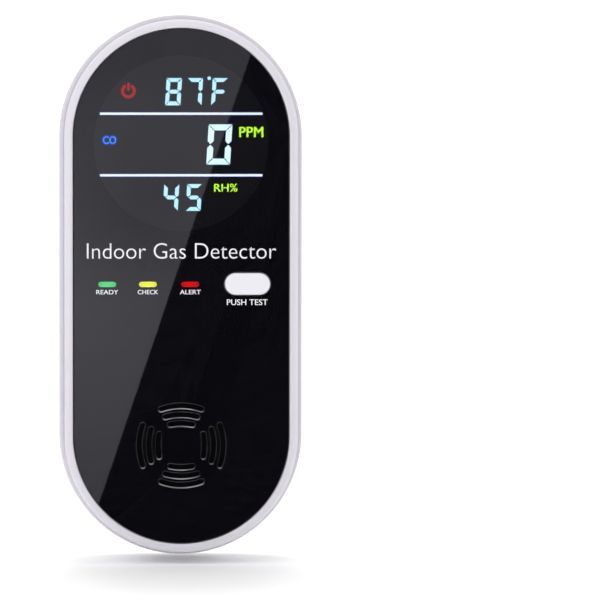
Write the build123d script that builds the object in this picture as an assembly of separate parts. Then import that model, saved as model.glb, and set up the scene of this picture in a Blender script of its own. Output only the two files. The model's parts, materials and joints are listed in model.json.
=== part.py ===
from build123d import *
import os
from math import asin, cos, degrees, radians, sin, tan

# Plug-in carbon monoxide alarm. Millimetres; +Z is up, the front faces -Y and the plug blades point +Y.
# The origin is the centre of the plug adapter's rear face, which lies against the wall.
os.makedirs("parts", exist_ok=True)

# Case outline: two half circles joined by straight sides, the upper one centred on the plug's axis
case_radius = 26.5
end_spacing = 64.7
wall = 2.0
clearance = 0.15
parting_gap = 0.12

# Depths along Y, from the wall forwards
collar_depth = 7.0
case_depth = 27.0
case_back = -collar_depth
case_front = case_back - case_depth
parting = case_front + 9.0
rear_inside = case_back - wall
rim_step = 1.0

# Front cover and the layers in its recess
cover_radius = 25.3
panel_radius = 23.35
panel_setback = 0.15
panel_edge_break = 0.15
panel_thickness = 1.5
mask_thickness = 0.15
tape_thickness = 0.3
deck_thickness = 1.6
panel_front = case_front + panel_setback
panel_rear = panel_front + panel_thickness
mask_rear = panel_rear + mask_thickness
deck_front = mask_rear + tape_thickness
deck_rear = deck_front + deck_thickness
cover_rear = parting + rim_step - 0.2
lip_rear = cover_rear + 2.7
lip_radius = case_radius - wall - clearance
lip_thickness = 1.35

# Main board
board_radius = 22.3
board_front = -24.0
board_rear = -22.4
board_screw_places = [(0, 20.4), (-18.3, -23.5), (18.3, -23.5), (-15, -78), (15, -78)]
board_screw_radius = 1.0
boss_radius = 2.3

# Parts on the rear of the board
case_middle = -end_spacing / 2
transformer_place = (-12.5, case_middle - 2.0)
transformer_height = 11.0
transformer_width = 13.0
core_depth = 6.0
core_leg = 3.0
core_yoke = 2.0
capacitor_places = [(12.6, case_middle - 1.0), (12.6, case_middle - 10.5)]
capacitor_radius = 4.0
capacitor_height = 11.5
fuse_place = (-12.5, case_middle - 14.0)
fuse_radius = 1.8
fuse_length = 9.0
varistor_place = (-12.5, case_middle - 20.5)
varistor_radius = 4.6
varistor_thickness = 3.6

# Display
display_z = case_middle + 30.95
display_radius = 19.15
segment_depth = 0.8
digit_slant = 3.5
stroke_share = 0.16
segment_gap = 0.12
corner_share = 0.06
bar_length = 35.1
bar_height = 0.5
upper_bar_z = case_middle + 37.3
lower_bar_z = case_middle + 24.0
power_icon_place = (-11.4, case_middle + 42.2)
power_icon_radius = 1.27
power_icon_stroke = 0.62
segments_of = {
    "0": "abcdef",
    "4": "bcfg",
    "5": "acdfg",
    "7": "abc",
    "8": "abcdefg",
    "F": "aefg",
    " ": "",
}
# Each line of digits: what it shows, the centres' x, the line's z, height and width of a digit
digit_lines = [
    ("87F", (-1.65, 2.9, 8.3), case_middle + 42.05, 6.0, 3.45),
    ("  0", (-6.0, 1.1, 8.25), case_middle + 30.65, 8.8, 5.25),
    ("45", (-2.2, 2.75), case_middle + 19.2, 5.9, 3.35),
]
degree_mark_place = (6.05, case_middle + 44.95)
degree_mark_radius = 0.38

# Status lamps and test button
lamp_z = case_middle + 0.4
lamp_names = ("power", "fault", "alarm")
lamp_x = {"power": -16.0, "fault": -7.2, "alarm": 1.95}
lamp_size = (3.75, 1.05)
pipe_rear = board_front - 1.4
test_button_place = (14.3, case_middle + 0.55)
test_button_size = (9.85, 4.75)
test_button_proud = 0.5
test_button_flange = 1.1
switch_size = 6.0
switch_front = board_front - 3.5
plunger_radius = 1.68
plunger_front = switch_front - 0.9

# Sounder behind four groups of three arc slots; each slot bends less than a circle about the middle would
sounder_z = case_middle - 34.4
slot_distances_sideways = (5.0, 7.0, 9.1)
slot_distances_upright = (4.75, 6.65, 8.6)
slot_lengths = (6.0, 8.1, 9.9)
slot_bend = 13.0
slot_width = 1.15
mesh_radius = 12.0
sounder_radius = 11.4

# Rear grille, gas sensor and vent ring
grille_z = case_middle - 37.3
grille_disc_radius = 12.4
grille_disc_depth = 0.25
grille_hole_radius = 0.6
grille_pitch = 2.5
grille_rings = 4
vent_count = 35
vent_ring_radius = 22.7
vent_hole_radius = 1.0
vent_reach = 119.5
back_rounding = 6.0
sensor_radius = 10.0
sensor_rear = -12.5

# Screw that joins the two covers, and the snap window at the lower end
case_screw_z = case_middle - 14.85
well_radius = 3.0
well_wall = 1.6
well_seat = case_back - 9.0
well_floor = well_seat - 1.5
snap_window_z = case_middle - 53.9
snap_window_turn = -23
snap_slot_size = (0.5, 2.3)
snap_slot_offset = 0.95

# Plug adapter and its bayonet socket
flange_radius = 20.0
flange_gap = 0.2
flange_front = case_back + flange_gap
spigot_radius = 14.5
spigot_front = -13.4
base_rear = -11.9
adapter_cavity_radius = 12.4
adapter_face_thickness = 2.4
running_gap = 0.08
socket_floor = spigot_front - 0.2
socket_bottom = socket_floor - 1.4
cup_radius = 16.8
lug_radius = 15.7
lug_span = 24
lug_angles = (90, 210, 330)
lug_rear = -9.9
lug_front = -11.9
open_turn = 35
blade_spacing = 12.7
blade_thickness = 1.5
blade_width = 6.35
blade_length = 16.5
blade_hole_radius = 1.7
blade_hole_from_face = 11.8
adapter_screw_z = 9.2
contact_width = 3.6

# Release button and its latch
button_angle = -50.5
button_distance = 23.6
button_centre = (
    button_distance * cos(radians(button_angle)),
    button_distance * sin(radians(button_angle)),
)
button_radius = 3.95
button_hole_radius = 4.2
button_offset = 0.13
button_flange_radius = 5.8
button_flange_rear = rear_inside - 2.2
button_flange_front = button_flange_rear - 0.8
latch_pin_radius = 0.7
latch_pin_distance = 18.6
latch_pin_tip = flange_front + 1.2
stem_radius = 1.5
retainer_rear = -17.0
retainer_front = -18.4
retainer_post_distance = 8.2
retainer_post_angles = (-60, -150)
spring_radius = 2.6
spring_wire_radius = 0.3


def layer(y):
    """Drawing plane at depth y: its x is the case's x and its y is the case's z."""
    return Plane(origin=(0, y, 0), x_dir=(1, 0, 0), z_dir=(0, -1, 0))


def side_view(x):
    """Drawing plane at a given x, seen from +X: its x runs down the case and its y is the case's Y."""
    return Plane(origin=(x, 0, 0), x_dir=(0, 0, -1), z_dir=(1, 0, 0))


def slab(drawing, rear, front):
    """A drawing extruded forwards from depth rear to depth front."""
    return extrude(layer(rear) * drawing, amount=rear - front, dir=(0, -1, 0))


def stadium(radius):
    """Outline parallel to the case's own, with the given end radius."""
    return Pos(0, -end_spacing / 2) * SlotCenterToCenter(end_spacing, 2 * radius, rotation=90)


def disc(radius, x=0, z=0):
    return Pos(x, z) * Circle(radius)


def pill(size, place, margin=0):
    """Stadium lying on its side, grown by a margin all round."""
    return Pos(*place) * SlotOverall(size[0] + 2 * margin, size[1] + 2 * margin)


def post(radius, rear, front, x=0, z=0):
    return slab(disc(radius, x, z), rear, front)


def block(width, height, rear, front, x=0, z=0):
    return slab(Pos(x, z) * Rectangle(width, height), rear, front)


def ring_sector(inner, outer, middle, span):
    """Part of a ring about the plug's axis, centred on an angle from +X."""
    outside = CenterArc((0, 0), outer, middle - span / 2, span)
    inside = CenterArc((0, 0), inner, middle - span / 2, span)
    sides = [Line(outside @ 0, inside @ 0), Line(outside @ 1, inside @ 1)]
    return make_face([outside, sides[1], inside, sides[0]])


def polar(distance, angle, about=(0, 0)):
    turn = radians(angle)
    return (about[0] + distance * cos(turn), about[1] + distance * sin(turn))


def rearmost(shape):
    return shape.faces().sort_by(Axis.Y)[-1]


def foremost(shape):
    return shape.faces().sort_by(Axis.Y)[0]


def screw(place, seat, head_radius, head_height, shaft_radius, shaft_length, faces_rear=True):
    """Pan-head screw with a cross recess; its head is on the rear side of the seat, or the front."""
    side = 1 if faces_rear else -1
    top = seat + side * head_height
    low, high = sorted((seat, top))
    head = post(head_radius, high, low, *place)
    crown = head.faces().sort_by(Axis.Y)[-1 if faces_rear else 0]
    head = fillet(crown.edges(), head_height * 0.45)
    recess_low, recess_high = sorted((top - side * head_height * 0.6, top))
    for width, height in ((1.15, 0.26), (0.26, 1.15)):
        arm = block(head_radius * width, head_radius * height, recess_high, recess_low, *place)
        head -= arm
    tip = seat - side * shaft_length
    low, high = sorted((seat, tip))
    shaft = post(shaft_radius, high, low, *place)
    point = shaft.faces().sort_by(Axis.Y)[0 if faces_rear else -1]
    shaft = chamfer(point.edges(), shaft_radius * 0.5)
    return head + shaft


def write(name, shape):
    export_step(shape, f"parts/{name}.step")


def write_group(name, solids):
    write(name, Compound(children=list(solids)))


# Front half of the case

def sounder_slots():
    """Four groups of three arc slots about the sounder's centre."""
    slots = Sketch()
    for direction in (0, 90, 180, 270):
        distances = slot_distances_sideways if direction % 180 == 0 else slot_distances_upright
        for distance, length in zip(distances, slot_lengths):
            half_span = degrees(asin((length - slot_width) / 2 / slot_bend))
            arc = CenterArc((distance - slot_bend, 0), slot_bend, -half_span, 2 * half_span)
            slots += Rot(0, 0, direction) * SlotArc(arc, slot_width)
    return Pos(0, sounder_z) * slots


def lamp_windows(margin):
    windows = Sketch()
    for name in lamp_names:
        windows += pill(lamp_size, (lamp_x[name], lamp_z), margin)
    return windows


def front_cover():
    """White bezel with the deck that carries the lens, and the bosses behind it."""
    cover = slab(stadium(cover_radius), cover_rear, case_front)
    cover = fillet(foremost(cover).edges(), 1.3)
    cover -= slab(stadium(panel_radius + 0.1), deck_front, case_front)
    bezel_edge = foremost(cover).inner_wires()[0].edges()
    cover = chamfer(bezel_edge, 0.2)
    cover -= slab(stadium(cover_radius - wall), cover_rear, deck_rear)
    lip = stadium(lip_radius) - stadium(lip_radius - lip_thickness)
    cover += slab(lip, lip_rear, cover_rear - 2)
    cover -= post(display_radius + 0.2, deck_rear, deck_front, 0, display_z)
    cover -= slab(lamp_windows(clearance), deck_rear, deck_front)
    cover -= slab(pill(test_button_size, test_button_place, clearance), deck_rear, deck_front)
    cover -= post(mesh_radius - 1.2, deck_rear, deck_front, 0, sounder_z)
    for place in board_screw_places:
        cover += post(boss_radius, board_front, deck_rear, *place)
        cover -= post(board_screw_radius + 0.05, board_front, deck_rear + 0.8, *place)
    cover += post(3.2, well_floor - 0.1, deck_rear, 0, case_screw_z)
    cover -= post(1.25, well_floor - 0.1, deck_rear + 1, 0, case_screw_z)
    return cover


def front_panel():
    """Smoked lens that covers the whole front, cut through for the test button and the sounder."""
    panel = slab(stadium(panel_radius), panel_rear, panel_front)
    panel = chamfer(foremost(panel).edges(), 0.2)
    panel -= slab(pill(test_button_size, test_button_place, clearance), panel_rear, panel_front)
    panel -= slab(sounder_slots(), panel_rear, panel_front)
    openings = [edge for wire in foremost(panel).inner_wires() for edge in wire.edges()]
    return chamfer(openings, panel_edge_break)


def panel_mask():
    """Black print film behind the lens, open at the display, the lamps, the button and the sounder."""
    film = stadium(panel_radius - 0.05) - disc(display_radius - 0.2, 0, display_z)
    film -= lamp_windows(0.05)
    film -= pill(test_button_size, test_button_place, clearance)
    film -= sounder_slots()
    return slab(film, mask_rear, panel_rear)


def panel_tape():
    """Adhesive frame between the film and the deck."""
    tape = stadium(panel_radius - 0.25) - disc(display_radius + 0.2, 0, display_z)
    tape -= lamp_windows(0.7)
    tape -= pill(test_button_size, test_button_place, 0.5)
    tape -= disc(mesh_radius + 0.1, 0, sounder_z)
    return slab(tape, deck_front, mask_rear)


def speaker_mesh():
    return post(mesh_radius, deck_front, mask_rear, 0, sounder_z)


# Display module

def segment_outlines(height, width):
    """The seven bars of a slanted digit about its centre, by letter; mitred corners, pointed waist."""
    stroke = stroke_share * height
    side, top = width / 2, height / 2
    inner_side, inner_top = side - stroke, top - stroke
    waist = stroke / 2
    lean = tan(radians(digit_slant))

    def leaning(corners):
        return make_face(Polyline([(x + z * lean, z) for x, z in corners], close=True))

    outline = leaning([(-side, -top), (side, -top), (side, top), (-side, top)])
    outline = fillet(outline.vertices(), corner_share * height)

    def bar(*corners):
        return offset(leaning(corners), -segment_gap / 2) & outline

    def upright(x, z):
        """Upright bar in the quarter of the digit with the given signs."""
        return bar(
            (x * side, z * top),
            (x * inner_side, z * inner_top),
            (x * inner_side, z * waist),
            (x * (side - waist), 0),
            (x * side, z * waist),
        )

    def level(z):
        inner_z = z * inner_top
        return bar((-side, z * top), (side, z * top), (inner_side, inner_z), (-inner_side, inner_z))

    middle = bar(
        (waist - side, 0),
        (-inner_side, waist),
        (inner_side, waist),
        (side - waist, 0),
        (inner_side, -waist),
        (-inner_side, -waist),
    )
    return {
        "a": level(1),
        "b": upright(1, 1),
        "c": upright(1, -1),
        "d": level(-1),
        "e": upright(-1, -1),
        "f": upright(-1, 1),
        "g": middle,
    }


def inlay(drawing):
    """A light bar of the display, flush with the module's face."""
    return slab(drawing, mask_rear + segment_depth, mask_rear)


def digit_bars(lit):
    """Solids of every lit segment of the display, or of every unlit one."""
    solids = []
    for text, centres, z, height, width in digit_lines:
        outlines = segment_outlines(height, width)
        for shown, x in zip(text, centres):
            for letter, outline in outlines.items():
                if (letter in segments_of[shown]) == lit:
                    solids.append(inlay(Pos(x, z) * outline))
    if lit:
        solids.append(inlay(disc(degree_mark_radius, *degree_mark_place)))
    return solids


def display_bars():
    return [inlay(Pos(0, z) * Rectangle(bar_length, bar_height)) for z in (upper_bar_z, lower_bar_z)]


def display_power_icon():
    """Broken ring with an upright stroke in its gap."""
    ring = SlotArc(CenterArc((0, 0), power_icon_radius, 130, 280), power_icon_stroke)
    stroke = Pos(0, power_icon_radius * 0.75) * SlotOverall(1.7, 0.55, rotation=90)
    return [inlay(Pos(*power_icon_place) * shape) for shape in (ring, stroke)]


def display_housing(inlays):
    """Round module body with a pocket for each light bar."""
    housing = post(display_radius, board_front, mask_rear, 0, display_z)
    housing = chamfer(foremost(housing).edges(), 0.3)
    return housing - inlays


# Lamps and test button

def light_pipe(name):
    """Pill-faced light guide with a flange behind the deck and a taper towards its lamp."""
    place = (lamp_x[name], lamp_z)
    head = slab(pill(lamp_size, place), deck_rear, panel_rear + 0.02)
    flange = slab(pill(lamp_size, place, 0.7), deck_rear + 0.85, deck_rear + 0.05)
    neck = slab(pill(lamp_size, place), deck_rear + 0.05, deck_rear)
    tail = loft(
        [
            layer(deck_rear + 0.85) * pill(lamp_size, place),
            layer(pipe_rear) * disc(1.1, *place),
        ]
    )
    return head + neck + flange + tail


def status_leds():
    """One small lamp on the board behind each light guide."""
    lamps = []
    for name in lamp_names:
        base = block(3.2, 1.6, board_front, board_front - 0.6, lamp_x[name], lamp_z)
        lens = block(2.0, 1.4, board_front - 0.6, board_front - 1.2, lamp_x[name], lamp_z)
        lamps.append(base + lens)
    return lamps


def test_button():
    """Pill key with a retaining flange and a stem that rests on the switch."""
    front = panel_front - test_button_proud
    key = slab(pill(test_button_size, test_button_place), deck_rear + 0.05, front)
    key = fillet(foremost(key).edges(), 0.45)
    flange_rear = deck_rear + 0.05 + test_button_flange
    flange = slab(pill(test_button_size, test_button_place, 1.0), flange_rear, deck_rear + 0.05)
    stem = post(1.5, plunger_front, flange_rear, *test_button_place)
    return key + flange + stem


def tact_switch_body():
    body = block(switch_size, switch_size, board_front, switch_front, *test_button_place)
    body = chamfer(body.edges().filter_by(Axis.Y), 0.6)
    body -= post(plunger_radius + 0.07, board_front - 1.0, switch_front, *test_button_place)
    return body


def tact_switch_plunger():
    plunger = post(plunger_radius, board_front - 2.0, plunger_front, *test_button_place)
    return chamfer(foremost(plunger).edges(), 0.2)


# Sounder

def buzzer_housing():
    """Round sounder case with a ledge inside for its disc and a sound hole in front."""
    front = deck_rear + 0.1
    ledge = board_front - 2.9
    housing = post(sounder_radius, board_front, front, 0, sounder_z)
    housing = fillet(foremost(housing).edges(), 0.6)
    housing -= post(sounder_radius - 2.0, board_front - 0.8, ledge, 0, sounder_z)
    housing -= post(sounder_radius - 1.0, ledge, front + 1.0, 0, sounder_z)
    housing -= post(1.6, front + 1.0, front, 0, sounder_z)
    return housing


def buzzer_disc():
    """Brass disc with its ceramic layer on the front."""
    ledge = board_front - 2.9
    brass = post(sounder_radius - 1.05, ledge, ledge - 0.25, 0, sounder_z)
    ceramic = post(7.0, ledge - 0.25, ledge - 0.45, 0, sounder_z)
    return brass + ceramic


# Main board and what it carries

def main_board():
    outline = stadium(board_radius)
    for place in board_screw_places:
        outline -= disc(board_screw_radius + 0.2, *place)
    outline -= disc(3.5, 0, case_screw_z)
    for place in sensor_pin_places():
        outline -= disc(0.6, *place)
    return slab(outline, board_rear, board_front)


def board_screws():
    screws = []
    for place in board_screw_places:
        screws.append(screw(place, board_rear, 2.0, 1.3, board_screw_radius, 6.0))
    return screws


def chip(width, height, thickness, place, pins, pitch, on_rear=False):
    """Moulded circuit with gull legs along its two long sides."""
    seat = board_rear if on_rear else board_front
    side = 1 if on_rear else -1
    low, high = sorted((seat + side * 0.15, seat + side * thickness))
    body = block(width, height, high, low, *place)
    body = chamfer(body.edges().filter_by(Axis.Y, reverse=True), 0.15)
    low, high = sorted((seat, seat + side * 0.35))
    for index in range(pins):
        x = place[0] + (index - (pins - 1) / 2) * pitch
        body += block(0.35, height + 1.8, high, low, x, place[1])
    return body


def microcontroller():
    """Square circuit with legs on all four sides."""
    place = (-9.5, case_middle - 11.5)
    body = chip(7.0, 7.0, 1.4, place, 8, 0.8)
    for index in range(8):
        z = place[1] + (index - 3.5) * 0.8
        body += block(8.8, 0.35, board_front, board_front - 0.35, place[0], z)
    return body


def display_driver():
    return chip(10.0, 4.0, 1.5, (9.0, case_middle - 11.5), 8, 1.2)


def humidity_sensor():
    """Small sensor beside the vent holes, with an open well in its top."""
    x = -19.4
    body = block(3.0, 3.0, board_rear + 1.1, board_rear, x, 0)
    return body - post(0.9, board_rear + 1.1, board_rear + 0.5, x, 0)


def sensor_pin_places():
    return [polar(6.5, angle, (0, grille_z)) for angle in (90, 210, 330)]


def co_sensor_body():
    """Sealed gas cell that faces the rear grille."""
    cell = post(sensor_radius, sensor_rear, board_rear + 0.4, 0, grille_z)
    cell = fillet(foremost(cell).edges(), 0.5)
    foot = post(sensor_radius - 1.5, board_rear + 0.4, board_rear, 0, grille_z)
    for place in sensor_pin_places():
        foot -= post(0.6, board_rear + 0.4, board_rear, *place)
    return cell + foot


def co_sensor_cap():
    """Filter cap of the gas cell with its gas holes."""
    cap = post(sensor_radius - 1.2, sensor_rear + 1.0, sensor_rear, 0, grille_z)
    cap = fillet(rearmost(cap).edges(), 0.4)
    holes = disc(0.6, 0, grille_z)
    for index in range(6):
        holes += disc(0.6, *polar(3.0, index * 60, (0, grille_z)))
    return cap - slab(holes, sensor_rear + 1.0, sensor_rear)


def co_sensor_pins():
    return [post(0.5, board_rear + 0.4, board_front + 0.1, *place) for place in sensor_pin_places()]


def transformer_core():
    """Laminated E core standing on the board, with its three legs and two windows."""
    x, z = transformer_place
    top = board_rear + transformer_height
    core = block(transformer_width, core_depth, top, board_rear, x, z)
    window = (transformer_width - 2 * core_yoke - core_leg) / 2
    for side in (-1, 1):
        middle = x + side * (core_leg + window) / 2
        core -= block(window, core_depth, top - core_yoke, board_rear + core_yoke, middle, z)
    return core


def transformer_winding():
    """Wound coil round the core's middle leg."""
    x, z = transformer_place
    rear = board_rear + transformer_height - core_yoke - 0.1
    front = board_rear + core_yoke + 0.1
    width = transformer_width - 2 * core_yoke - 0.2
    coil = block(width, core_depth + 5.6, rear, front, x, z)
    coil = fillet(coil.edges().filter_by(Axis.Y), 1.2)
    return coil - block(core_leg, core_depth, rear, front, x, z)


def filter_capacitors():
    """Two cans on end, each rolled in near its base and scored across its top."""
    cans = []
    top = board_rear + capacitor_height
    for place in capacitor_places:
        can = post(capacitor_radius, top, board_rear, *place)
        can = fillet(rearmost(can).edges(), 0.5)
        groove = disc(capacitor_radius, *place) - disc(capacitor_radius - 0.3, *place)
        can -= slab(groove, board_rear + 1.8, board_rear + 1.2)
        for width, height in ((4.5, 0.3), (0.3, 4.5)):
            can -= block(width, height, top, top - 0.2, *place)
        cans.append(can)
    return cans


def fuse():
    """Axial fuse lying on the board, with bent leads."""
    x, z = fuse_place
    y = board_rear + fuse_radius + 0.4
    body = Pos(x, y, z) * Cylinder(fuse_radius, fuse_length, rotation=(0, 90, 0))
    body = fillet(body.edges(), 0.5)
    for side in (-1, 1):
        lead_x = x + side * (fuse_length / 2 + 1.15)
        body += Pos(lead_x - side * 0.55, y, z) * Cylinder(0.35, 1.8, rotation=(0, 90, 0))
        body += post(0.3, y, board_rear, lead_x, z)
    return body


def varistor():
    """Coated disc standing on edge, with two leads."""
    x, z = varistor_place
    y = board_rear + varistor_radius + 1.7
    body = Pos(x, y, z) * Cylinder(varistor_radius, varistor_thickness)
    body = fillet(body.edges(), 1.2)
    for side in (-1, 1):
        body += post(0.4, y, board_rear, x + side * 2.5, z)
    return body


def bridge_rectifier():
    return chip(6.5, 5.0, 2.6, (12.0, case_middle - 20.0), 2, 3.8, on_rear=True)


def contact(side):
    """Spring leaf from the board, through the socket's floor, to the inner end of one blade."""
    half = 0.25
    foot = board_rear + half
    crest = spigot_front - 0.05 - half
    path = Polyline((-3.4, foot), (3.2, foot), (3.2, -18.2), (-1.2, crest), (-3.0, crest - 1.9))
    leaf = offset(path, amount=half, side=Side.BOTH, closed=True, kind=Kind.ARC)
    left_edge = side * blade_spacing / 2 - contact_width / 2
    leaf_face = side_view(left_edge) * make_face(leaf.edges())
    return extrude(leaf_face, amount=contact_width, dir=(1, 0, 0))


# Rear half of the case

def vent_holes():
    holes = Sketch()
    step = 2 * vent_reach / (vent_count - 1)
    for index in range(vent_count):
        angle = 90 - vent_reach + index * step
        holes += disc(vent_hole_radius, *polar(vent_ring_radius, angle))
    return holes


def grille_holes():
    """Centre hole and rings of 6, 12, 18 and 24 holes round it."""
    holes = disc(grille_hole_radius, 0, grille_z)
    for ring in range(1, grille_rings + 1):
        for index in range(6 * ring):
            place = polar(ring * grille_pitch, 90 + index * 60 / ring, (0, grille_z))
            holes += disc(grille_hole_radius, *place)
    return holes


def bayonet_cuts():
    """Everything taken out of the socket: bore, lug race, entry notches and contact slots."""
    cut = post(spigot_radius + running_gap, case_back, socket_floor)
    cut += post(lug_radius + 0.2, lug_rear + 0.2, lug_front - 0.2)
    for angle in lug_angles:
        notch = ring_sector(spigot_radius - 1, lug_radius + 0.2, angle - open_turn, lug_span + 3)
        cut += slab(notch, case_back, lug_front)
    for side in (-1, 1):
        slot_x = side * blade_spacing / 2
        cut += block(contact_width + 0.8, 5.8, socket_floor, socket_bottom, slot_x, 1.4)
    return cut


def latch_cuts():
    """Button hole, joined under the collar to the latch pin's hole."""
    hole_centre = polar(button_offset, button_angle, button_centre)
    hole = disc(button_hole_radius, *hole_centre)
    hole += disc(latch_pin_radius + 0.25, *polar(latch_pin_distance, button_angle))
    return slab(hole, case_back, button_flange_rear - 0.1)


def retainer_posts():
    return [polar(retainer_post_distance, a, button_centre) for a in retainer_post_angles]


def snap_window():
    """Two narrow slots that leave a catch between them."""
    slots = Sketch()
    for side in (-1, 1):
        slots += Pos(side * snap_slot_offset, 0) * Rectangle(*snap_slot_size)
    return Pos(0, snap_window_z) * Rot(0, 0, snap_window_turn) * slots


def rear_cover():
    """White rear shell with the plug socket, vent ring, grille, screw well and latch guide."""
    shell = slab(stadium(case_radius), case_back, parting)
    shell = fillet(rearmost(shell).edges(), back_rounding)
    shell = fillet(foremost(shell).edges(), 0.3)
    cavity = slab(stadium(case_radius - wall), rear_inside, parting)
    cavity = fillet(rearmost(cavity).edges(), back_rounding - wall)
    shell -= cavity
    shell -= slab(stadium(cover_radius + parting_gap), parting + rim_step, parting)
    shell += post(cup_radius, rear_inside, socket_bottom)
    shell -= bayonet_cuts()
    shell += post(button_hole_radius + 1.2, rear_inside, button_flange_rear + 0.1, *button_centre)
    shell -= latch_cuts()
    for place in retainer_posts():
        shell += post(2.0, rear_inside, retainer_rear, *place)
        shell -= post(0.85, rear_inside - 1, retainer_rear, *place)
    shell += post(well_radius + well_wall, rear_inside, well_floor, 0, case_screw_z)
    shell -= post(well_radius, case_back, well_seat, 0, case_screw_z)
    shell -= post(1.4, well_seat, well_floor, 0, case_screw_z)
    shell -= post(grille_disc_radius, case_back, case_back - grille_disc_depth, 0, grille_z)
    shell -= slab(grille_holes(), case_back, rear_inside)
    shell -= slab(vent_holes(), case_back, case_back - 7)
    shell -= slab(snap_window(), case_back, case_back - 4)
    return shell


def grille_screen():
    return post(grille_disc_radius - 0.6, rear_inside, rear_inside - 0.25, 0, grille_z)


def vent_screen():
    """Dark mesh strip that follows the inside of the rounded edge behind the vent holes."""
    bend = back_rounding - wall
    centre = (case_radius - back_rounding, rear_inside - bend)
    outside = CenterArc(centre, bend - 0.03, 24, 58)
    inside = CenterArc(centre, bend - 0.33, 24, 58)
    strip = make_face(
        [outside, Line(outside @ 1, inside @ 1), inside, Line(outside @ 0, inside @ 0)]
    )
    swept = 2 * vent_reach + 8
    return revolve(Rot(0, -90 - swept / 2, 0) * strip, Axis.Y, revolution_arc=swept)


def case_screw():
    return screw((0, case_screw_z), well_seat, 2.4, 1.8, 1.2, 10.5)


# Release latch

def release_button():
    """Round key with a retaining flange, a latch pin beside it and a stem for its spring."""
    key = post(button_radius, case_back, button_flange_rear, *button_centre)
    key = fillet(rearmost(key).edges(), 0.35)
    flange = post(button_flange_radius, button_flange_rear, button_flange_front, *button_centre)
    pin_place = polar(latch_pin_distance, button_angle)
    pin = post(latch_pin_radius, latch_pin_tip, button_flange_rear, *pin_place)
    pin = chamfer(rearmost(pin).edges(), 0.2)
    stem = post(stem_radius, button_flange_front, retainer_front - 0.3, *button_centre)
    return key + flange + pin + stem


def release_spring():
    """Compression spring round the button's stem, between its flange and the retainer."""
    room = button_flange_front - retainer_rear
    turns = 4.5
    height = room - 2 * spring_wire_radius - 0.1
    coil = Helix(pitch=height / turns, height=height, radius=spring_radius)
    section = Plane(origin=coil @ 0, z_dir=coil % 0) * Circle(spring_wire_radius)
    wire = sweep(section, path=coil)
    start = retainer_rear + spring_wire_radius + 0.05
    return Pos(button_centre[0], start, button_centre[1]) * Rot(-90, 0, 0) * wire


def latch_retainer():
    """Plate that closes the latch: a round seat with an arm to each of its two posts."""
    plate = disc(4.2, *button_centre)
    for place in retainer_posts():
        middle = ((place[0] + button_centre[0]) / 2, (place[1] + button_centre[1]) / 2)
        angle = Vector(place[0] - button_centre[0], place[1] - button_centre[1])
        turn = Vector(1, 0).get_signed_angle(angle)
        arm = SlotCenterToCenter(retainer_post_distance, 4.4)
        plate += Pos(*middle) * Rot(0, 0, turn) * arm
    for place in retainer_posts():
        plate -= disc(0.95, *place)
    plate -= disc(stem_radius + 0.06, *button_centre)
    return slab(plate, retainer_rear, retainer_front)


def latch_screws():
    screws = []
    for place in retainer_posts():
        screws.append(screw(place, retainer_front, 1.8, 1.2, 0.8, 5.5, faces_rear=False))
    return screws


# Plug adapter

def plug_adapter():
    """Round plug body: wall flange, spigot with bayonet lugs, and a hollow for the blades' holders."""
    flange = post(flange_radius, 0, flange_front)
    flange = fillet(rearmost(flange).edges(), 2.3)
    flange = fillet(foremost(flange).edges(), 0.4)
    body = flange + post(spigot_radius, flange_front, spigot_front)
    for angle in lug_angles:
        lug = ring_sector(spigot_radius - 1, lug_radius, angle, lug_span)
        body += slab(lug, lug_rear, lug_front)
    body -= post(adapter_cavity_radius, -adapter_face_thickness, base_rear)
    body -= post(adapter_cavity_radius + 0.8, base_rear, spigot_front)
    for side in (-1, 1):
        place = (side * blade_spacing / 2, 0)
        body += block(4.6, 9.6, -adapter_face_thickness, base_rear, *place)
        body -= block(blade_thickness, blade_width, 0, base_rear, *place)
        post_place = (0, side * adapter_screw_z)
        body += post(2.4, -adapter_face_thickness, base_rear, *post_place)
        body -= post(0.95, -adapter_face_thickness - 1, base_rear, *post_place)
    face_line = disc(17.5) - disc(17.1)
    body -= slab(face_line, 0, -0.3)
    race = ring_sector(17.6, 19.4, button_angle + open_turn / 2, open_turn + 8)
    body -= slab(race, flange_front + 1.5, flange_front)
    return body


def adapter_base():
    """Plate that closes the spigot, with slots for the blades' inner ends."""
    plate = disc(adapter_cavity_radius + 0.75)
    for side in (-1, 1):
        blade_slot = Rectangle(blade_thickness + 0.1, blade_width + 0.1)
        plate -= Pos(side * blade_spacing / 2, 0) * blade_slot
        plate -= disc(1.0, 0, side * adapter_screw_z)
    plate = slab(plate, base_rear, spigot_front)
    for side in (-1, 1):
        plate -= post(2.1, spigot_front + 1.0, spigot_front, 0, side * adapter_screw_z)
    return plate


def adapter_screws():
    screws = []
    for side in (-1, 1):
        place = (0, side * adapter_screw_z)
        screws.append(screw(place, spigot_front + 1.0, 1.9, 0.9, 0.9, 6.0, faces_rear=False))
    return screws


def blade(side):
    """Flat plug blade with a hole near its rounded tip; its inner end is a contact."""
    outline = Rectangle(blade_width, blade_length - spigot_front)
    outline = fillet(outline.vertices().sort_by(Axis.Y)[-2:], 1.3)
    outline = Pos(0, (blade_length + spigot_front) / 2) * outline
    outline -= Pos(0, blade_hole_from_face) * Circle(blade_hole_radius)
    left_face = side * blade_spacing / 2 - blade_thickness / 2
    strip = extrude(side_view(left_face) * outline, amount=blade_thickness, dir=(1, 0, 0))
    tip = strip.faces().sort_by(Axis.Y)[-1]
    return chamfer(tip.edges().filter_by(Axis.Z), 0.45)


display_inlays = digit_bars(True) + digit_bars(False) + display_bars() + display_power_icon()

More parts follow.
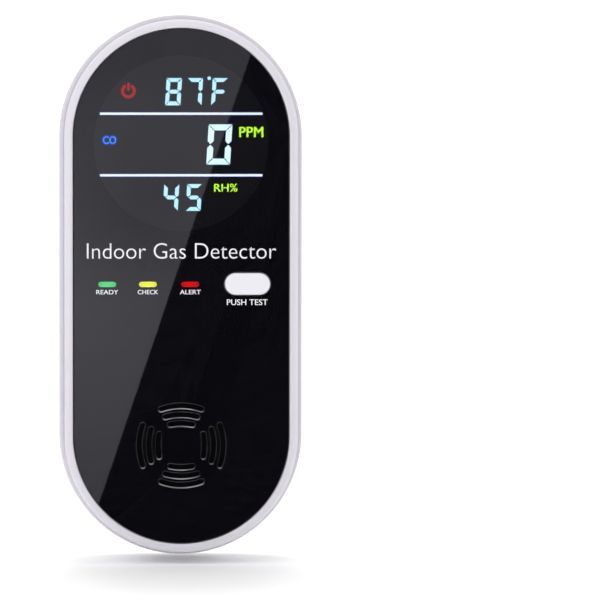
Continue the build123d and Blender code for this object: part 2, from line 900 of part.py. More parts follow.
write("front_cover", front_cover())
write("front_panel", front_panel())
write("panel_mask", panel_mask())
write("panel_tape", panel_tape())
write("speaker_mesh", speaker_mesh())
write("display_housing", display_housing(display_inlays))
write_group("display_digits", digit_bars(True))
write_group("display_dark_segments", digit_bars(False))
write_group("display_bars", display_bars())
write_group("display_power_icon", display_power_icon())
for lamp in lamp_names:
    write(f"{lamp}_light_pipe", light_pipe(lamp))
write_group("status_leds", status_leds())
write("test_button", test_button())
write("tact_switch_body", tact_switch_body())
write("tact_switch_plunger", tact_switch_plunger())
write("buzzer_housing", buzzer_housing())
write("buzzer_disc", buzzer_disc())
write("main_board", main_board())
write_group("board_screws", board_screws())
write("microcontroller", microcontroller())
write("display_driver", display_driver())
write("humidity_sensor", humidity_sensor())
write("co_sensor_body", co_sensor_body())
write("co_sensor_cap", co_sensor_cap())
write_group("co_sensor_pins", co_sensor_pins())
write("transformer_core", transformer_core())
write("transformer_winding", transformer_winding())
write_group("filter_capacitors", filter_capacitors())
write("fuse", fuse())
write("varistor", varistor())
write("bridge_rectifier", bridge_rectifier())
write("live_contact", contact(-1))
write("neutral_contact", contact(1))
write("rear_cover", rear_cover())
write("vent_screen", vent_screen())
write("grille_screen", grille_screen())
write("case_screw", case_screw())
write("release_button", release_button())
write("release_spring", release_spring())
write("latch_retainer", latch_retainer())
write_group("latch_screws", latch_screws())
write("plug_adapter", plug_adapter())
write("adapter_base", adapter_base())
write_group("adapter_screws", adapter_screws())
write("blade_left", blade(-1))
write("blade_right", blade(1))
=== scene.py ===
import json
from math import cos, pi, radians, sin

import bmesh
import bpy
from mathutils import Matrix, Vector


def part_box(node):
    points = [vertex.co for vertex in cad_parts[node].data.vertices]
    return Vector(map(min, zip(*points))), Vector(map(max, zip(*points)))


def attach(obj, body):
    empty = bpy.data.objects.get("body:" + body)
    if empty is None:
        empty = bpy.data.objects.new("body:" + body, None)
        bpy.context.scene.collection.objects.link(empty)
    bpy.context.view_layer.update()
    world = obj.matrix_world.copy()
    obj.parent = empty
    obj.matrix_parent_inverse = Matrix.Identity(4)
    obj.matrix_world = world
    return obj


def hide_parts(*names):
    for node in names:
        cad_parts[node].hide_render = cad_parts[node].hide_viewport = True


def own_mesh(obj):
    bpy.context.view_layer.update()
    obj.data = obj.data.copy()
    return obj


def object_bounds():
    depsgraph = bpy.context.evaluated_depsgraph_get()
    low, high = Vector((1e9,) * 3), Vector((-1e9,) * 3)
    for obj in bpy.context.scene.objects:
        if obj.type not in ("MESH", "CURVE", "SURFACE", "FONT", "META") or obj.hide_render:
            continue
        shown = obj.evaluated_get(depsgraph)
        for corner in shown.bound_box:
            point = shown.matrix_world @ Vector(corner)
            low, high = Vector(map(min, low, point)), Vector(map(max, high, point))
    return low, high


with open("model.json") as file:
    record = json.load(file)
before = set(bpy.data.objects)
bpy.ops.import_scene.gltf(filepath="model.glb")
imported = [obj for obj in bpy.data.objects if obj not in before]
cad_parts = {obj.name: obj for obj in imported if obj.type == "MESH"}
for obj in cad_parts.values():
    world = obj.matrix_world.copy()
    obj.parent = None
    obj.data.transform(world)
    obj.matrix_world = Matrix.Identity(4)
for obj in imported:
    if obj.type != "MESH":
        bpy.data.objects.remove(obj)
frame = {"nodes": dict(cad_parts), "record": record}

cad_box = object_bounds()
scene = bpy.context.scene
scene.view_settings.view_transform = "Standard"
scene.view_settings.look = "None"

MM = 0.001
FRONT_PLANE = (1, 0, 1)
FLOOR_PLANE = (1, 1, 0)

# The lens darkens what is behind it at each of its two faces, so what glows there is that much brighter
LENS_TINT = 0.6
LIT = 1 / (1 - LENS_TINT) ** 2


def rgb(red, green, blue):
    """Linear colour for a display colour given in 0 to 255."""
    def linear(value):
        value /= 255
        return value / 12.92 if value <= 0.04045 else ((value + 0.055) / 1.055) ** 2.4

    return (linear(red), linear(green), linear(blue), 1.0)


# ---- node helpers -------------------------------------------------------------------------------

class Look:
    """A procedural material: a Principled shader and the textures that feed it."""

    def __init__(self, name):
        self.material = bpy.data.materials.new(name)
        self.material.use_nodes = True
        self.tree = self.material.node_tree
        self.tree.nodes.clear()
        self.output = self.tree.nodes.new("ShaderNodeOutputMaterial")
        self.shader = self.tree.nodes.new("ShaderNodeBsdfPrincipled")
        self.tree.links.new(self.shader.outputs[0], self.output.inputs["Surface"])
        coordinates = self.add("ShaderNodeTexCoord").outputs
        self.place = coordinates["Object"]
        self.across = coordinates["Generated"]
        self.normal = coordinates["Normal"]

    def add(self, kind, inputs=None, **settings):
        node = self.tree.nodes.new(kind)
        for key, value in settings.items():
            setattr(node, key, value)
        for key, value in (inputs or {}).items():
            self.feed(node.inputs[key], value)
        return node

    def feed(self, socket, value):
        if isinstance(value, bpy.types.NodeSocket):
            self.tree.links.new(value, socket)
        else:
            socket.default_value = value

    def set(self, **inputs):
        for key, value in inputs.items():
            self.feed(self.shader.inputs[key.replace("_", " ")], value)
        return self

    def noise(self, size, detail=2.0, distortion=0.0):
        """Noise whose features are about size millimetres across."""
        return self.add(
            "ShaderNodeTexNoise",
            {"Vector": self.place, "Scale": 1 / (size * MM), "Detail": detail, "Distortion": distortion},
        ).outputs["Fac"]

    def cells(self, size):
        """Distance from the middle of cells that are about size millimetres across."""
        return self.add(
            "ShaderNodeTexVoronoi", {"Vector": self.place, "Scale": 1 / (size * MM)}, feature="F1"
        ).outputs["Distance"]

    def bands(self, size, axis, distortion=0.0):
        """Stripes across an axis, with a period of size millimetres."""
        return self.add(
            "ShaderNodeTexWave",
            {"Vector": self.place, "Scale": 2 * pi / (size * MM) / 20, "Distortion": distortion},
            bands_direction=axis,
        ).outputs["Fac"]

    def span(self, factor, low, high, start=0.0, end=1.0):
        """A value that goes from low to high as the factor goes from start to end."""
        return self.add(
            "ShaderNodeMapRange",
            {"Value": factor, "From Min": start, "From Max": end, "To Min": low, "To Max": high},
        ).outputs["Result"]

    def math(self, operation, first, second=0.0):
        node = self.add("ShaderNodeMath", operation=operation)
        self.feed(node.inputs[0], first)
        self.feed(node.inputs[1], second)
        return node.outputs[0]

    def mix(self, factor, first, second):
        node = self.add("ShaderNodeMix", data_type="RGBA")
        self.feed(node.inputs[0], factor)
        self.feed(node.inputs[6], first)
        self.feed(node.inputs[7], second)
        return node.outputs[2]

    def distance(self, centre, keep=(1, 1, 1), place=None):
        """Distance from a point, with each axis multiplied by its factor in keep."""
        away = self.add("ShaderNodeVectorMath", operation="SUBTRACT")
        self.feed(away.inputs[0], self.place if place is None else place)
        away.inputs[1].default_value = centre
        flat = self.add("ShaderNodeVectorMath", operation="MULTIPLY")
        self.feed(flat.inputs[0], away.outputs[0])
        flat.inputs[1].default_value = keep
        length = self.add("ShaderNodeVectorMath", operation="LENGTH")
        self.feed(length.inputs[0], flat.outputs[0])
        return length.outputs["Value"]

    def part(self, vector, which):
        """One of the three components of a vector."""
        return self.add("ShaderNodeSeparateXYZ", {"Vector": vector}).outputs[which]

    def axis(self, which):
        return self.part(self.place, which)

    def relief(self, *layers):
        """Bump from several height fields, each given with its depth in millimetres."""
        normal = None
        for height, depth in layers:
            inputs = {"Height": height, "Distance": depth * MM, "Strength": 1.0}
            if normal is not None:
                inputs["Normal"] = normal
            normal = self.add("ShaderNodeBump", inputs).outputs["Normal"]
        self.feed(self.shader.inputs["Normal"], normal)
        return self


def plastic(name, gloss, grain, grain_depth, coat=0.0, soft=0.0):
    """Injection-moulded plastic, still without a colour: fine tool texture and uneven gloss."""
    look = Look(name)
    look.set(
        Roughness=look.span(look.noise(9, 1), gloss - 0.01, gloss + 0.01),
        Coat_Weight=coat,
        Coat_Roughness=0.12,
        Subsurface_Weight=soft,
        Subsurface_Scale=0.0012,
        Subsurface_Radius=(1.0, 0.9, 0.85),
    )
    return look.relief((look.noise(grain, 2), grain_depth))


def moulded(name, light, dark, gloss, grain, grain_depth):
    """Moulded plastic whose colour drifts a little and is finely specked."""
    look = plastic(name, gloss, grain, grain_depth)
    drifting = look.mix(look.span(look.noise(25, 1), 0, 1, 0.35, 0.65), light, dark)
    speck = look.span(look.noise(grain, 2), 0.0, 0.06)
    return look.set(Base_Color=look.mix(speck, drifting, dark))


def bare_metal(name, gloss, brushed, scratch):
    """Metal, still without a colour: uneven gloss, and drawing lines across an axis or else fine pits."""
    look = Look(name)
    look.set(
        Metallic=1.0,
        Roughness=look.span(look.noise(0.8, 4), gloss - 0.05, gloss + 0.1, 0.3, 0.7),
    )
    lines = look.bands(0.11, brushed, 6.0) if brushed else look.noise(0.12, 3)
    return look.relief((lines, scratch))


def metal(name, bright, dull, gloss, brushed=None, scratch=0.002):
    """Metal with tarnish patches."""
    look = bare_metal(name, gloss, brushed, scratch)
    tarnish = look.span(look.noise(2.2, 4, 0.4), 0, 1, 0.4, 0.75)
    return look.set(Base_Color=look.mix(tarnish, bright, dull))


def glowing(name, colour, strength, edge=None, drift=0.06):
    """Diffuser plastic lit from behind: softly cloudy, with another colour at its edge if one is given."""
    look = Look(name)
    cloud = look.span(look.noise(0.7, 3), 1 - drift, 1 + drift, 0.3, 0.7)
    shade = colour
    if edge is not None:
        from_middle = look.distance((0.5, 0.5, 0.5), (2, 0, 2), look.across)
        shade = look.mix(look.span(from_middle, 0, 1, 0.35, 1.0), colour, edge)
    look.set(
        Base_Color=shade,
        Roughness=0.45,
        Emission_Color=shade,
        Emission_Strength=look.math("MULTIPLY", cloud, strength),
    )
    return look.relief((look.noise(0.25, 2), 0.002))


# ---- finishes, one for each material slot of the record -----------------------------------------

def white_shell():
    """Shell plastic: a trace of violet at the front, neutral towards the back."""
    look = plastic("white_shell", 0.30, 0.3, 0.0012, coat=0.15, soft=0.45)
    lowest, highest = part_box("rear_cover")
    inset = 3 * MM
    rearward = look.span(look.axis("Y"), 0, 1, lowest.y + inset, highest.y - inset)
    front = look.mix(look.noise(25, 1), rgb(222, 219, 226), rgb(220, 217, 224))
    return look.set(Base_Color=look.mix(rearward, front, rgb(216, 216, 216)))


def white_key():
    """Keys: the test key at the front is the whitest plastic; the release key matches the shell."""
    look = plastic("white_key", 0.22, 0.5, 0.0008, coat=0.3, soft=0.08)
    test_key, release_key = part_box("test_button")[1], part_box("release_button")[0]
    rearward = look.span(look.axis("Y"), 0, 1, test_key.y, max(release_key.y, test_key.y + 1 * MM))
    return look.set(Base_Color=look.mix(rearward, rgb(236, 234, 240), rgb(222, 222, 223)))


def white_inner():
    return moulded("white_inner", rgb(226, 226, 224), rgb(218, 218, 214), 0.42, 0.3, 0.004)


def lens_reflection(look):
    """Strength of the lens's reflection: weaker in a patch below the display's bars, and in its window."""
    lowest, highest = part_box("display_housing")
    middle = (lowest + highest) / 2
    radius = (highest.x - lowest.x) / 2
    patch = (middle.x - 7 * MM, 0, middle.z - 14 * MM)
    haze = look.span(look.distance(patch, FRONT_PLANE), 0.68, 0.9, 4 * MM, 20 * MM)
    from_middle = look.distance((middle.x, 0, middle.z), FRONT_PLANE)
    window = look.span(from_middle, 0.94, 1, radius - 0.4 * MM, radius - 0.2 * MM)
    return look.math("MULTIPLY", haze, window)


def slot_edges(look):
    """1 on the cut edges of the sounder's slots, 0 on the sheet's faces and on its other edges."""
    lowest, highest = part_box("grille_screen")
    middle = (lowest + highest) / 2
    sideways = look.span(look.math("ABSOLUTE", look.part(look.normal, "Y")), 1, 0, 0.86, 0.96)
    from_middle = look.distance((middle.x, 0, middle.z), FRONT_PLANE)
    return look.math("MULTIPLY", sideways, look.span(from_middle, 1, 0, 14.5 * MM, 15 * MM))


def smoked_lens():
    """Dark acrylic sheet: polished, a little hazy over the display, pale on the sounder slots' cut edges,
    with a painted highlight that makes the upward-facing edges palest.
    """
    look = Look("smoked_lens")
    cut = slot_edges(look)
    # Painted highlight: the pale cut-edge colour is strongest where an edge faces upward and weak where it
    # faces down
    frost_and_painted_highlight = look.math("MULTIPLY", cut, look.span(look.part(look.normal, "Z"), 0.14, 1.0, 0.3, 0.7))
    patchy = look.math("MULTIPLY", frost_and_painted_highlight, look.span(look.noise(3.5, 1), 0.35, 1.0, 0.35, 0.6))
    polished = look.mix(look.noise(20, 2), rgb(9, 8, 15), rgb(12, 11, 19))
    smooth = look.span(look.noise(20, 1), 0.007, 0.009)
    tint = look.span(look.noise(30, 1), LENS_TINT - 0.01, LENS_TINT + 0.01)
    look.set(
        Base_Color=look.mix(patchy, polished, rgb(186, 186, 196)),
        Roughness=look.math("MAXIMUM", smooth, look.math("MULTIPLY", cut, 0.3)),
        IOR=1.5,
        Specular_IOR_Level=look.math("SUBTRACT", lens_reflection(look), look.math("MULTIPLY", cut, 0.6)),
        Alpha=look.math("MAXIMUM", tint, frost_and_painted_highlight),
    )
    return look.relief((look.noise(18, 1), 0.0004))


def black_film():
    return moulded("black_film", rgb(12, 11, 15), rgb(10, 9, 13), 0.5, 0.4, 0.0003)


def tape():
    """Foam tape: black, closed cells."""
    look = Look("tape")
    cell = look.cells(0.18)
    look.set(Base_Color=look.mix(cell, rgb(52, 50, 52), rgb(38, 37, 39)), Roughness=0.85)
    return look.relief((cell, 0.03))


def black_cloth():
    """Woven acoustic mesh: threads both ways at 0.32 mm."""
    look = Look("black_cloth")
    pitch = 0.32
    warp, weft = look.bands(pitch, "X", 0.3), look.bands(pitch, "Z", 0.3)
    thread = look.math("MAXIMUM", warp, weft)
    crossing = look.math("MULTIPLY", warp, weft)
    look.set(
        Base_Color=look.mix(look.span(thread, 0, 1, 0.2, 1.0), rgb(2, 2, 3), rgb(10, 10, 12)),
        Roughness=look.span(look.noise(0.3, 3), 0.7, 0.9),
        Specular_IOR_Level=0.15,
    )
    return look.relief((crossing, 0.05))


# The faint painted glow given to the black parts of the display and to the sounder case
PAINTED_GLOW = rgb(56, 60, 60)


def module_black():
    """Display module and sounder case: black nylon, with a faint painted glow."""
    look = moulded("module_black", rgb(20, 20, 23), rgb(16, 16, 19), 0.38, 0.5, 0.001)
    # Painted glow: these black parts give off a trace of light of their own
    return look.set(Emission_Color=PAINTED_GLOW, Emission_Strength=look.span(look.noise(9, 1), 0.42, 0.48))


def lit_digit():
    """Cyan-white light bars, a little whiter in the middle line of the display."""
    outer, inner = rgb(184, 236, 246), rgb(218, 246, 249)
    look = glowing("lit_digit", outer, LIT)
    lowest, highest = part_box("display_digits")
    height = look.span(look.axis("Z"), 0, 1, lowest.z, highest.z)
    from_middle = look.math("ABSOLUTE", look.math("SUBTRACT", height, 0.5))
    colour = look.mix(look.span(from_middle, 0, 1, 0.1, 0.35), inner, outer)
    return look.set(Base_Color=colour, Emission_Color=colour)


def unlit_digit():
    """Dark diffuser bars that nearly vanish in the module."""
    look = moulded("unlit_digit", rgb(26, 27, 30), rgb(21, 22, 25), 0.5, 0.5, 0.001)
    # Painted glow: the unlit bars give off the same trace of light as the module
    return look.set(Emission_Color=PAINTED_GLOW, Emission_Strength=look.span(look.noise(9, 1), 0.46, 0.52))


def lit_bar():
    return glowing("lit_bar", rgb(246, 250, 255), LIT, rgb(232, 241, 255))


def lit_icon():
    return glowing("lit_icon", rgb(164, 10, 2), LIT * 0.9)


def lamp(name, core, edge):
    return glowing(name, core, LIT, edge, 0.1)


def lamp_chip():
    """Small surface-mount lamp: cream ceramic with a yellowish lens."""
    look = moulded("lamp_chip", rgb(240, 236, 214), rgb(226, 214, 150), 0.35, 0.12, 0.004)
    return look.set(Emission_Color=rgb(255, 240, 190), Emission_Strength=look.span(look.noise(0.8), 0.3, 0.7))


def board():
    """Green solder mask over copper tracks, with rows of plated holes."""
    look = Look("board")
    weave = look.noise(0.3, 2)
    upright = look.add("ShaderNodeMapping", {"Vector": look.place, "Rotation": (pi / 2, 0, 0)})
    track = look.add(
        "ShaderNodeTexBrick",
        {
            "Vector": upright.outputs[0], "Scale": 1 / (9 * MM), "Mortar Size": 0.035, "Mortar Smooth": 0.1,
            "Brick Width": 0.9, "Row Height": 0.22,
        },
        offset=0.35,
    ).outputs["Fac"]
    hole = look.span(look.cells(4.1), 1, 0, 0.08, 0.12)
    mask = look.mix(weave, rgb(18, 92, 52), rgb(12, 74, 42))
    covered = look.mix(track, mask, rgb(40, 128, 70))
    look.set(
        Base_Color=look.mix(hole, covered, rgb(206, 200, 178)),
        Roughness=look.span(weave, 0.25, 0.4),
        Metallic=look.math("MULTIPLY", hole, 0.8),
        Coat_Weight=0.3,
    )
    return look.relief((track, 0.03), (weave, 0.004))


def chip_black():
    return moulded("chip_black", rgb(30, 30, 32), rgb(22, 22, 24), 0.5, 0.12, 0.008)


def brass():
    return metal("brass", rgb(222, 182, 108), rgb(184, 138, 74), 0.28, "X")


def blade_metal():
    """Nickel plate over brass: bright, with the brass warming it in patches, and drawing lines."""
    return metal("blade_metal", rgb(228, 226, 222), rgb(208, 202, 195), 0.12, "Z", 0.001)


def dark_screw():
    """Bronzed steel, with painted shade: near black in the recess that the driver goes into and everywhere
    else deeper than the crown.
    """
    look = bare_metal("dark_screw", 0.3, None, 0.004)
    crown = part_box("case_screw")[1].y
    bronze = look.mix(look.noise(2.2, 4, 0.4), rgb(176, 134, 96), rgb(120, 86, 60))
    # Painted shade: more than 0.7 mm below the crown the screw is coloured near black
    raised = look.span(look.axis("Y"), 0, 1, crown - 0.7 * MM, crown - 0.2 * MM)
    return look.set(Base_Color=look.mix(raised, rgb(16, 10, 8), bronze))


def zinc_screw():
    return metal("zinc_screw", rgb(206, 206, 210), rgb(168, 168, 160), 0.3, None, 0.004)


def sensor_white():
    return moulded("sensor_white", rgb(232, 230, 222), rgb(222, 219, 208), 0.45, 0.25, 0.005)


def sensor_cap():
    return metal("sensor_cap", rgb(196, 197, 200), rgb(160, 160, 158), 0.35, "X", 0.003)


def plunger():
    return moulded("plunger", rgb(40, 40, 43), rgb(28, 28, 30), 0.35, 0.2, 0.004)


def ferrite():
    """Stacked laminations, varnished."""
    look = Look("ferrite")
    sheet = look.bands(0.5, "Z")
    look.set(
        Base_Color=look.mix(sheet, rgb(52, 50, 52), rgb(82, 80, 80)),
        Metallic=0.6,
        Roughness=look.span(look.noise(1, 3), 0.4, 0.6),
    )
    return look.relief((sheet, 0.06))


def winding_tape():
    """Amber polyester tape with the wire's turns showing through it."""
    look = Look("winding_tape")
    turn = look.bands(0.35, "Y", 0.2)
    look.set(
        Base_Color=look.mix(turn, rgb(206, 158, 40), rgb(226, 184, 66)),
        Roughness=look.span(look.noise(2, 2), 0.18, 0.3),
        Coat_Weight=0.5,
    )
    return look.relief((turn, 0.02))


def capacitor_sleeve():
    """Shrink sleeve with a pale polarity stripe, over an aluminium can."""
    look = Look("capacitor_sleeve")
    lowest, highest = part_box("filter_capacitors")
    middle = (lowest.x + highest.x) / 2
    stripe = look.span(look.axis("X"), 0, 1, middle + 2.6 * MM, middle + 2.8 * MM)
    crown = look.span(look.axis("Y"), 0, 1, highest.y - 0.4 * MM, highest.y - 0.2 * MM)
    sleeve = look.mix(stripe, rgb(26, 30, 44), rgb(186, 190, 198))
    look.set(
        Base_Color=look.mix(crown, sleeve, rgb(196, 198, 202)),
        Metallic=crown,
        Roughness=look.span(look.noise(1.5, 2), 0.22, 0.36),
    )
    return look.relief((look.noise(1.2, 2), 0.01))


def fuse_body():
    """Ceramic tube with printed colour bands and tinned ends."""
    look = Look("fuse_body")
    lowest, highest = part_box("fuse")
    along = look.span(look.axis("X"), 0, 1, lowest.x, highest.x)
    offset = look.math("ABSOLUTE", look.math("SUBTRACT", along, 0.5))
    ends = look.span(offset, 0, 1, 0.355, 0.365)
    band = look.math("MULTIPLY", look.span(offset, 0, 1, 0.16, 0.165), look.span(offset, 1, 0, 0.2, 0.205))
    tube = look.mix(band, rgb(214, 204, 184), rgb(150, 60, 44))
    look.set(
        Base_Color=look.mix(ends, tube, rgb(190, 190, 192)),
        Metallic=ends,
        Roughness=look.span(look.noise(0.6, 3), 0.35, 0.5),
    )
    return look.relief((look.noise(0.3, 2), 0.006))


def varistor_coat():
    """Dipped epoxy: thick, dimpled."""
    look = Look("varistor_coat")
    dimple = look.noise(1.1, 2)
    look.set(
        Base_Color=look.mix(dimple, rgb(30, 76, 150), rgb(22, 58, 122)),
        Roughness=look.span(dimple, 0.2, 0.35),
        Coat_Weight=0.4,
    )
    return look.relief((dimple, 0.08))


finishes = {
    "white_shell": white_shell(),
    "white_key": white_key(),
    "white_inner": white_inner(),
    "smoked_lens": smoked_lens(),
    "black_film": black_film(),
    "tape": tape(),
    "black_cloth": black_cloth(),
    "module_black": module_black(),
    "lit_digit": lit_digit(),
    "unlit_digit": unlit_digit(),
    "lit_bar": lit_bar(),
    "lit_icon": lit_icon(),
    "green_light": lamp("green_light", rgb(74, 206, 116), rgb(44, 160, 92)),
    "yellow_light": lamp("yellow_light", rgb(226, 232, 52), rgb(190, 186, 30)),
    "red_light": lamp("red_light", rgb(204, 14, 16), rgb(160, 4, 10)),
    "lamp_chip": lamp_chip(),
    "board": board(),
    "chip_black": chip_black(),
    "brass": brass(),
    "blade_metal": blade_metal(),
    "dark_screw": dark_screw(),
    "zinc_screw": zinc_screw(),
    "sensor_white": sensor_white(),
    "sensor_cap": sensor_cap(),
    "plunger": plunger(),
    "ferrite": ferrite(),
    "winding_tape": winding_tape(),
    "capacitor_sleeve": capacitor_sleeve(),
    "fuse_body": fuse_body(),
    "varistor_coat": varistor_coat(),
}


def dress(obj, look):
    """The object shows this one finish."""
    obj.data.materials.clear()
    obj.data.materials.append(look.material)


for part in frame["record"]["subparts"]:
    dress(frame["nodes"][part["node"]], finishes[part["material_slot"]])


def put(name, data):
    """A new object in the scene that shows a mesh, curve, light or camera."""
    obj = bpy.data.objects.new(name, data)
    scene.collection.objects.link(obj)
    return obj


# ---- the release key's spring, carried with the case --------------------------------------------

def pressed_spring():
    """The release key's spring, copied into a mesh of its own and carried with the case; the part from the
    model is hidden.
    """
    node = frame["nodes"]["release_spring"]
    coil = put("release_coil", node.data.copy())
    coil.matrix_world = node.matrix_world.copy()
    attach(coil, "case")
    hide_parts("release_spring")
    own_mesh(coil)


pressed_spring()


# ---- lettering ----------------------------------------------------------------------------------

def flatten(curve, name):
    """A curve or text turned into an object with a mesh of its own."""
    obj = put(name, curve)
    bpy.context.view_layer.update()
    depsgraph = bpy.context.evaluated_depsgraph_get()
    mesh = bpy.data.meshes.new_from_object(obj.evaluated_get(depsgraph))
    bpy.data.objects.remove(obj)
    bpy.data.curves.remove(curve)
    mesh.name = name
    return put(name, mesh)


def lettering(name, text, centre, size, face, depth, bold=0.0, weight=0.0, spacing=1.0, behind=False):
    """Letters that fill a width and height about a centre in X and Z, and grow from a face in Y.
    Lengths are in millimetres. The letters are read from the front, or from behind."""
    curve = bpy.data.curves.new(name, "FONT")
    curve.body = text
    curve.resolution_u = 5
    curve.offset = weight
    curve.space_character = spacing
    piece = flatten(curve, name)
    xs = [v.co.x for v in piece.data.vertices]
    ys = [v.co.y for v in piece.data.vertices]
    middle = Vector(((min(xs) + max(xs)) / 2, (min(ys) + max(ys)) / 2, 0))
    scale_x = size[0] * MM / (max(xs) - min(xs))
    scale_y = size[1] * MM / (max(ys) - min(ys))
    side = 1 if behind else -1
    for vertex in piece.data.vertices:
        x, y = (vertex.co - middle).xy
        vertex.co = (
            centre[0] * MM - side * x * scale_x,
            face * MM,
            centre[1] * MM + y * scale_y,
        )
    thicken(piece, side * depth)
    if bold:
        strike(piece, bold)
    return piece


def thicken(piece, depth):
    """Flat letters made solid, growing along Y."""
    mesh = bmesh.new()
    mesh.from_mesh(piece.data)
    bmesh.ops.remove_doubles(mesh, verts=mesh.verts, dist=1e-7)
    grow(mesh, depth)
    mesh.to_mesh(piece.data)
    mesh.free()


def grow(mesh, depth):
    """Every face of a flat mesh extruded along Y by a depth in millimetres, into a closed solid."""
    grown = bmesh.ops.extrude_face_region(mesh, geom=mesh.faces[:])
    for element in grown["geom"]:
        if isinstance(element, bmesh.types.BMVert):
            element.co.y += depth * MM
    bmesh.ops.recalc_face_normals(mesh, faces=mesh.faces)


def strike(piece, bold):
    """Bold letters are struck twice more, to either side and a hair apart in depth."""
    hair = 0.0005
    mesh = bmesh.new()
    mesh.from_mesh(piece.data)
    original = mesh.faces[:]
    for side in (-1, 1):
        copy = bmesh.ops.duplicate(mesh, geom=original)
        moved = [element for element in copy["geom"] if isinstance(element, bmesh.types.BMVert)]
        bmesh.ops.translate(mesh, verts=moved, vec=(side * bold * MM, side * hair * MM, 0))
    mesh.to_mesh(piece.data)
    mesh.free()


def mark(piece, look, body):
    dress(piece, look)
    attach(piece, body)


def ink(name, shade, thin):
    """Screen-print ink: dense, very slightly uneven."""
    look = Look(name)
    look.set(
        Base_Color=look.mix(look.noise(0.4, 3), shade, thin),
        Roughness=look.span(look.noise(0.8, 2), 0.42, 0.55),
    )
    return look.relief((look.noise(0.12, 2), 0.002))


white_ink = ink("white_ink", rgb(250, 249, 252), rgb(238, 238, 242))
lime_legend = glowing("lime_legend", rgb(192, 255, 44), LIT)
blue_legend = glowing("blue_legend", rgb(36, 134, 236), LIT)

lowest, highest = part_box("front_panel")
middle_z = (lowest.z + highest.z) / 2 / MM
panel_face = lowest.y / MM
module_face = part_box("display_housing")[0].y / MM
clear_of_face, ink_depth = 0.004, 0.006

# Name, words, centre from the panel's middle, size, how far bold letters are struck to the side, weight
printed = [
    ("title_print", "Indoor Gas Detector", (0.05, 7.7), (40.9, 3.4), 0, -0.009),
    ("power_print", "READY", (-16.0, -1.2), (4.7, 0.95), 0.015, 0),
    ("fault_print", "CHECK", (-7.2, -1.2), (4.4, 0.95), 0.015, 0),
    ("alarm_print", "ALERT", (1.95, -1.2), (4.5, 0.95), 0.015, 0),
    ("test_print", "PUSH TEST", (14.25, -3.4), (8.8, 1.25), 0.015, 0),
]
for name, text, (x, z), size, bold, weight in printed:
    letters = lettering(
        name, text, (x, z + middle_z), size, panel_face - clear_of_face, ink_depth, bold, weight
    )
    mark(letters, white_ink, "case")

lit_legends = [
    ("gas_legend", "CO", (-15.5, 31.6), (2.8, 1.65), 0.04, blue_legend, "lit_digit"),
    ("parts_legend", "PPM", (15.15, 33.35), (5.1, 2.2), 0.07, lime_legend, "yellow_light"),
    ("humidity_legend", "RH%", (9.65, 21.3), (5.0, 1.7), 0.04, lime_legend, "yellow_light"),
]
for name, text, (x, z), size, bold, look, slot_name in lit_legends:
    letters = lettering(
        name, text, (x, z + middle_z), size, module_face - clear_of_face, ink_depth, bold, spacing=1.03
    )
    mark(letters, look, "case")


# ---- fringes of light ---------------------------------------------------------------------------

def outward_directions(rim):
    """For each vertex on the rim, the directions in the front plane that lead away from the lit faces."""
    outward = {}
    for edge in rim:
        along = (edge.verts[1].co - edge.verts[0].co).normalized()
        normal = Vector((along.z, 0, -along.x))
        inside = edge.link_faces[0].calc_center_median() - edge.verts[0].co
        if normal.dot(inside) > 0:
            normal = -normal
        for vertex in edge.verts:
            outward.setdefault(vertex, []).append(normal)
    return outward


def fringe_mesh(name, source, width):
    """Thin plate round a piece's front faces, with an attribute that is 1 at the piece and 0 further out."""
    in_front, thickness = 0.007, 0.004
    lit = bmesh.new()
    lit.from_mesh(source.data)
    away = [face for face in lit.faces if face.normal.y > -0.9]
    bmesh.ops.delete(lit, geom=away, context="FACES")
    bmesh.ops.remove_doubles(lit, verts=lit.verts, dist=2e-6)
    rim = [edge for edge in lit.edges if len(edge.link_faces) == 1]
    near = min(vertex.co.y for vertex in lit.verts) - in_front * MM

    plate = bmesh.new()
    glow = plate.verts.layers.float.new("glow")
    pairs = {}
    for vertex, normals in outward_directions(rim).items():
        direction = sum(normals, Vector()).normalized()
        reach = width * MM / max(0.6, direction.dot(normals[0]))
        pair = []
        for place, value in ((vertex.co, 1.0), (vertex.co + direction * reach, 0.0)):
            corner = plate.verts.new((place.x, near, place.z))
            corner[glow] = value
            pair.append(corner)
        pairs[vertex] = pair
    for edge in rim:
        first, second = pairs[edge.verts[0]], pairs[edge.verts[1]]
        plate.faces.new((first[0], second[0], second[1], first[1]))
    lit.free()
    grow(plate, thickness)
    data = bpy.data.meshes.new(name)
    plate.to_mesh(data)
    plate.free()
    return data


def fringe_look(name, colour, strength):
    """Light that is bright at the piece's edge and gone a little way out.
    It is nearly clear and lets through two faces, so it adds light and hides nothing."""
    thinness, falloff = 0.03, 1.6
    look = Look(name)
    fade = look.add("ShaderNodeAttribute", attribute_name="glow").outputs["Fac"]
    uneven = look.span(look.noise(0.6, 2), 0.85, 1.0, 0.3, 0.7)
    return look.set(
        Base_Color=(0, 0, 0, 1),
        Roughness=0.6,
        Specular_IOR_Level=0.0,
        Emission_Color=colour,
        Emission_Strength=look.math("MULTIPLY", uneven, strength / thinness / 2),
        Alpha=look.math("MULTIPLY", look.math("POWER", fade, falloff), thinness),
    )


fringes = [
    ("digits_glow", "display_digits", 0.34, rgb(4, 52, 96), "lit_digit"),
    ("bars_glow", "display_bars", 0.3, rgb(14, 44, 120), "lit_bar"),
    ("icon_glow", "display_power_icon", 0.35, rgb(70, 8, 6), "lit_icon"),
    ("gas_glow", "gas_legend", 0.45, rgb(6, 60, 170), "lit_digit"),
    ("parts_glow", "parts_legend", 0.25, rgb(40, 62, 6), "yellow_light"),
    ("humidity_glow", "humidity_legend", 0.25, rgb(40, 62, 6), "yellow_light"),
]
for name, source, width, colour, slot_name in fringes:
    fringe = put(name, fringe_mesh(name, bpy.data.objects[source], width))
    mark(fringe, fringe_look(name, colour, LIT), "case")


# ---- raised words and arrows on the plug adapter ------------------------------------------------

